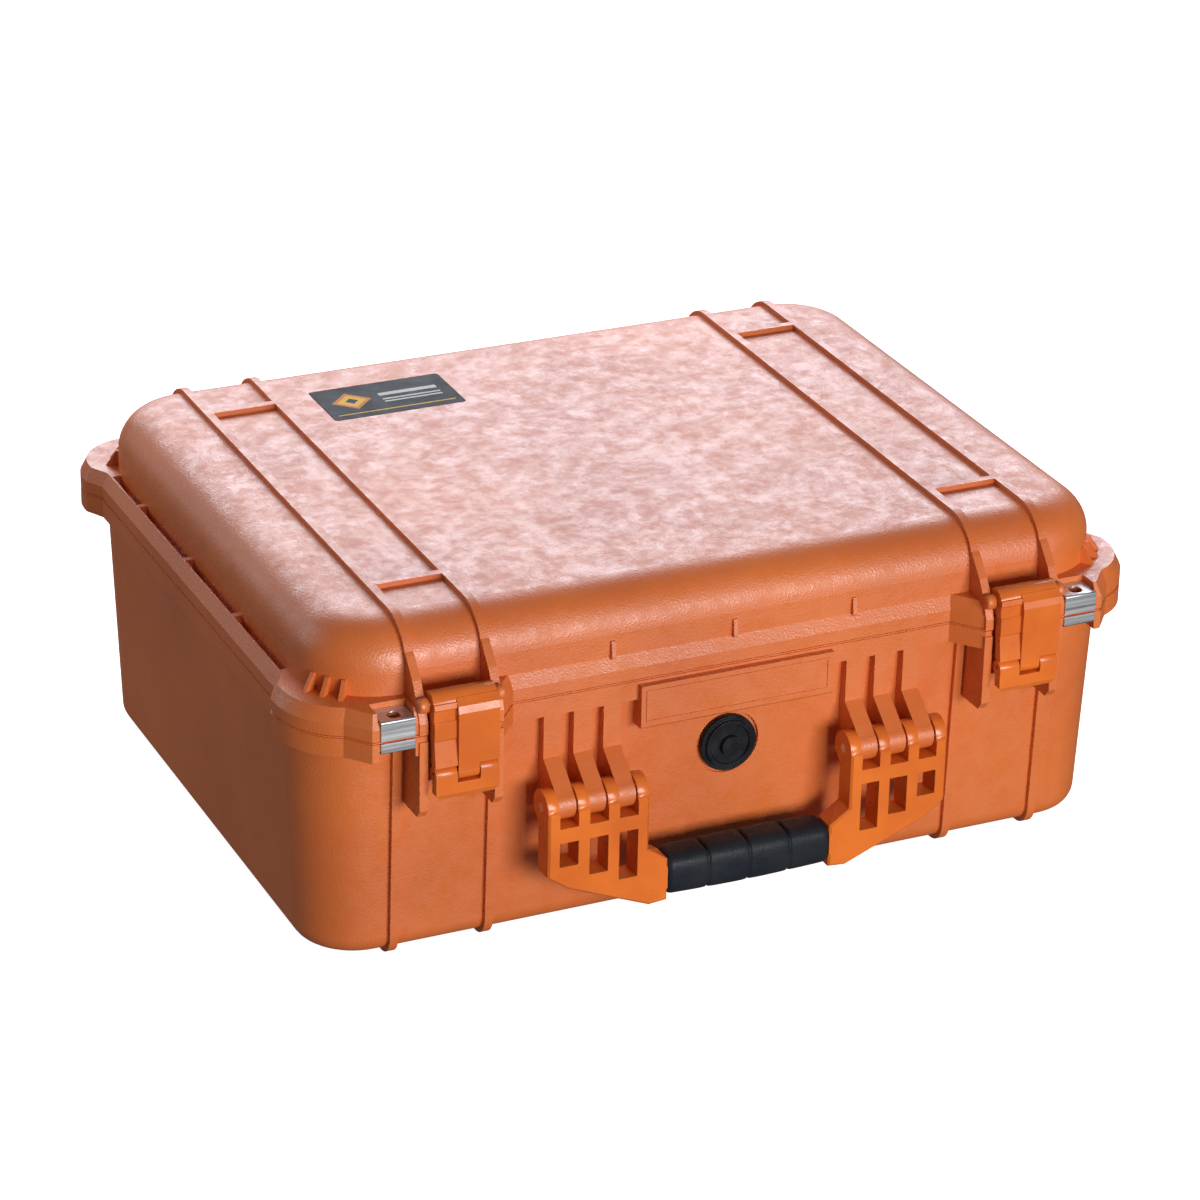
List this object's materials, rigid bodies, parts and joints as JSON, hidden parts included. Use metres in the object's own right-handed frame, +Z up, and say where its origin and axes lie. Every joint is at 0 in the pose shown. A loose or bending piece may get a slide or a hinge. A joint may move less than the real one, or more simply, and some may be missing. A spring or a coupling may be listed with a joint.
{
  "type": "hard equipment case",
  "caption": "Moulded hard case with a deep foam-filled base, hinged ribbed lid, two swing latches, folding carry handle, pressure valve and steel padlock plates.",
  "frame": {"origin": "centre of the bounding box at the underside of the foot ribs", "axes": "+X along the long side towards the right-hand latch, -Y towards the latches and handle, +Z up"},
  "size_m": [0.525, 0.437, 0.208],
  "materials": {
    "shell_plastic": "matte",
    "fitting_plastic": "satin",
    "grip_rubber": "matte",
    "seal_rubber": "satin",
    "stainless": "satin",
    "valve_plastic": "satin",
    "valve_membrane": "matte",
    "foam": "matte",
    "label_film": "gloss"
  },
  "bodies": {
    "base": {"base_shell": "shell_plastic", "hinge_pin_left": "stainless", "hinge_pin_right": "stainless", "handle_pin_left": "stainless", "handle_pin_right": "stainless", "padlock_plate_lower_left": "stainless", "padlock_plate_lower_right": "stainless", "valve_body": "valve_plastic", "valve_cap": "valve_plastic", "valve_seal_ring": "seal_rubber", "valve_nut": "valve_plastic", "valve_membrane": "valve_membrane", "foam_base_pad": "foam", "foam_cube_block": "foam"},
    "lid": {"lid_shell": "shell_plastic", "lid_seal": "seal_rubber", "lid_label": "label_film", "foam_lid_sheet": "foam", "padlock_plate_upper_left": "stainless", "padlock_plate_upper_right": "stainless", "jaw_pin_left": "stainless", "jaw_pin_right": "stainless"},
    "latch_left_jaw": {"latch_jaw_left": "fitting_plastic", "lever_pin_left": "stainless"},
    "latch_left_lever": {"latch_lever_left": "fitting_plastic"},
    "latch_right_jaw": {"latch_jaw_right": "fitting_plastic", "lever_pin_right": "stainless"},
    "latch_right_lever": {"latch_lever_right": "fitting_plastic"},
    "handle": {"handle_frame": "fitting_plastic", "handle_grip": "grip_rubber"}
  },
  "joints": [
    {"name": "lid_hinge", "type": "hinge", "parent": "base", "child": "lid", "pos_m": [0, 0.21, 0.151], "axis": [-1, 0, 0], "range_deg": [0, 100]},
    {"name": "latch_left_jaw_swing", "type": "hinge", "parent": "lid", "child": "latch_left_jaw", "pos_m": [-0.17425, -0.2075, 0.1685], "axis": [-1, 0, 0], "range_deg": [0, 95]},
    {"name": "latch_left_lever_pull", "type": "hinge", "parent": "latch_left_jaw", "child": "latch_left_lever", "pos_m": [-0.17425, -0.2138, 0.1288], "axis": [-1, 0, 0], "range_deg": [0, 60]},
    {"name": "latch_right_jaw_swing", "type": "hinge", "parent": "lid", "child": "latch_right_jaw", "pos_m": [0.17425, -0.2075, 0.1685], "axis": [-1, 0, 0], "range_deg": [0, 95]},
    {"name": "latch_right_lever_pull", "type": "hinge", "parent": "latch_right_jaw", "child": "latch_right_lever", "pos_m": [0.17425, -0.2138, 0.1288], "axis": [-1, 0, 0], "range_deg": [0, 60]},
    {"name": "handle_swing", "type": "hinge", "parent": "base", "child": "handle", "pos_m": [0, -0.205, 0.091], "axis": [-1, 0, 0], "range_deg": [0, 95]}
  ]
}
